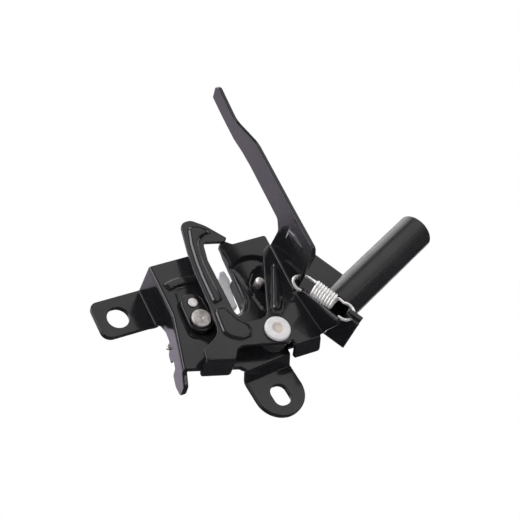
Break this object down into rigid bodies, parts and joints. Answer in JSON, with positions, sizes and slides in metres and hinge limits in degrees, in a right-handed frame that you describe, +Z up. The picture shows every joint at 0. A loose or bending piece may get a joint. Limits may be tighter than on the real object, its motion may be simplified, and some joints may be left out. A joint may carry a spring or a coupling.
{
  "type": "bonnet latch",
  "caption": "Black folded-steel bonnet latch with striker slot, rotary claw and pawl, sprung safety hook with hand lever, mounting ear, slotted tab and cable tube.",
  "frame": {"origin": "centre of the round hole in the mounting ear, on the ear's rear face", "axes": "+X to the right seen from the front, +Y to the back, +Z up along the striker slot"},
  "size_m": [0.1499, 0.06, 0.1427],
  "materials": {
    "black_coat": "gloss black dip coat",
    "tube_coat": "satin black coat",
    "rivet_steel": "turned bright steel",
    "white_zinc": "pale zinc plate",
    "bright_plate": "zinc plate",
    "dark_steel": "dark oxide",
    "spring_wire": "bright drawn wire"
  },
  "bodies": {
    "base": {"base_plate": "black_coat", "cable_tube": "tube_coat", "pivot_plate": "black_coat", "locating_rivet": "rivet_steel", "claw_rivet": "rivet_steel", "claw_bush": "dark_steel", "hook_rivet": "white_zinc", "hook_bush": "dark_steel", "pawl_rivet": "rivet_steel", "hook_spring": "spring_wire", "claw_spring": "spring_wire"},
    "hook": {"safety_hook": "black_coat"},
    "claw": {"claw": "bright_plate"},
    "pawl": {"pawl": "dark_steel"}
  },
  "joints": [
    {"name": "hook_swing", "type": "hinge", "parent": "base", "child": "hook", "pos_m": [0.051, -0.02875, -0.0385], "axis": [0, -1, 0], "range_deg": [0, 18], "stiffness_Nm_per_rad": 1, "springref_deg": -20.05, "deforming": ["hook_spring"]},
    {"name": "claw_turn", "type": "hinge", "parent": "base", "child": "claw", "pos_m": [0.024, -0.0105, -0.0215], "axis": [0, 1, 0], "range_deg": [0, 34], "stiffness_Nm_per_rad": 0.5, "springref_deg": -28.65, "deforming": ["claw_spring"]},
    {"name": "pawl_release", "type": "hinge", "parent": "base", "child": "pawl", "pos_m": [0.0577, -0.0159, -0.0118], "axis": [0, -1, 0], "range_deg": [0, 12], "stiffness_Nm_per_rad": 0.2, "springref_deg": -22.92}
  ]
}
